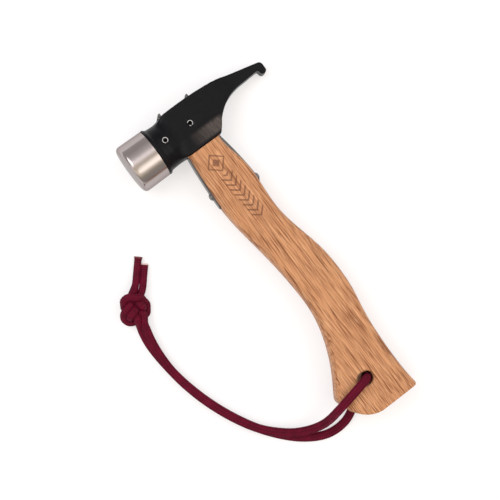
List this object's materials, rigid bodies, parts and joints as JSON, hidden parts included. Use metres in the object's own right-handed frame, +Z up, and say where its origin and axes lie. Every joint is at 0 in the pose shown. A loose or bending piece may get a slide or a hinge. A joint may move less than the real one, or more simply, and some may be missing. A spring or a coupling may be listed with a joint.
{
  "type": "tent peg hammer",
  "caption": "Camping tent-peg hammer with a forged hooked head, a turned steel striking cap, a waisted hardwood handle held by steel straps, and a knotted lanyard cord.",
  "frame": {"origin": "middle of the footprint of the hammer without its cord, on the surface that it lies on", "axes": "+X along the head from the striking face to the peg finger, +Y up the handle from the butt to the head, +Z up from the surface; the hammer lies on its side, rolled 7.4 degrees about Y on to its flange and block"},
  "size_m": [0.214, 0.2946, 0.0445],
  "materials": {
    "blackened_forging": "semi-gloss black over a forged surface",
    "turned_stainless": "fine turned",
    "pin_steel": "bright spring steel",
    "strap_steel": "satin rolled strip",
    "screw_steel": "zinc plated",
    "oak": "oiled, straight grain",
    "wedge_wood": "plain end grain",
    "maroon_braid": "braided polyester"
  },
  "bodies": {
    "root": {"head_body": "blackened_forging", "striking_cap": "turned_stainless", "cap_pin": "pin_steel", "eye_pin": "pin_steel", "handle": "oak", "tenon_wedge": "wedge_wood", "front_strap": "strap_steel", "rear_strap": "strap_steel", "front_strap_screw": "screw_steel", "rear_strap_screw": "screw_steel", "cord_upper_leg": "maroon_braid", "cord_lower_leg": "maroon_braid", "cord_knot": "maroon_braid", "cord_long_tail": "maroon_braid", "cord_short_tail": "maroon_braid"}
  },
  "joints": []
}
